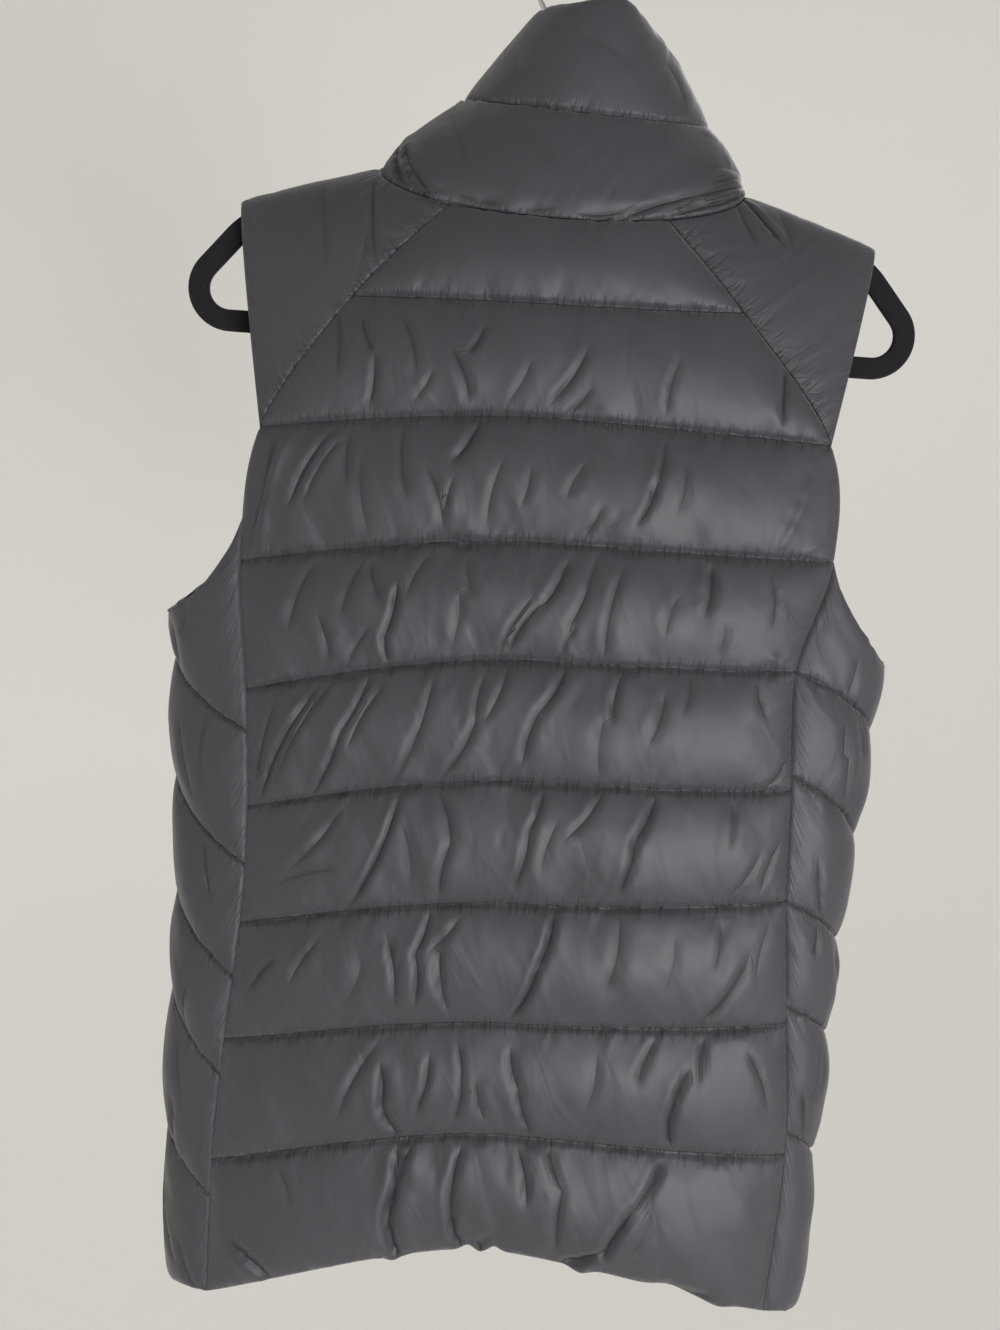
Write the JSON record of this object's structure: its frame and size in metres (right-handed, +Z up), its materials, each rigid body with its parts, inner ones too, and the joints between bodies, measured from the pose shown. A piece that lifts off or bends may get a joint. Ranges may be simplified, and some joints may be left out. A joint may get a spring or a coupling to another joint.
{
  "type": "puffer vest on a hanger",
  "caption": "Slim quilted puffer vest with smooth raglan yokes, diagonal side panels and a high funnel collar, zipped up on a slim flocked hanger.",
  "frame": {"origin": "the inside top of the hanger's hook, where a rail carries it", "axes": "+Z up; the vest's front faces -Y; the wearer's left is +X"},
  "size_m": [0.4472, 0.185, 0.8444],
  "materials": {
    "shell_cloth": "smooth polyester taffeta, semi-matt with a soft satin sheen, dark charcoal",
    "zip_tape": "matt woven tape",
    "flock": "black flock over plastic",
    "hook_steel": "polished steel wire",
    "zip_metal": "dark satin lacquer"
  },
  "bodies": {
    "vest": {"back_panel": "shell_cloth", "front_left": "shell_cloth", "front_right": "shell_cloth", "side_left": "shell_cloth", "side_right": "shell_cloth", "yoke_left": "shell_cloth", "yoke_right": "shell_cloth", "collar": "shell_cloth", "zip_tape_left": "zip_tape", "zip_tape_right": "zip_tape", "zip_slider": "zip_metal", "hanger_body": "flock", "hanger_hook": "hook_steel"},
    "pull": {"zip_pull": "zip_metal"}
  },
  "joints": [
    {"name": "pull_swing", "type": "hinge", "parent": "vest", "child": "pull", "pos_m": [-0.01279, -0.12176, -0.06519], "axis": [-1, 0, 0], "range_deg": [0, 140]}
  ]
}
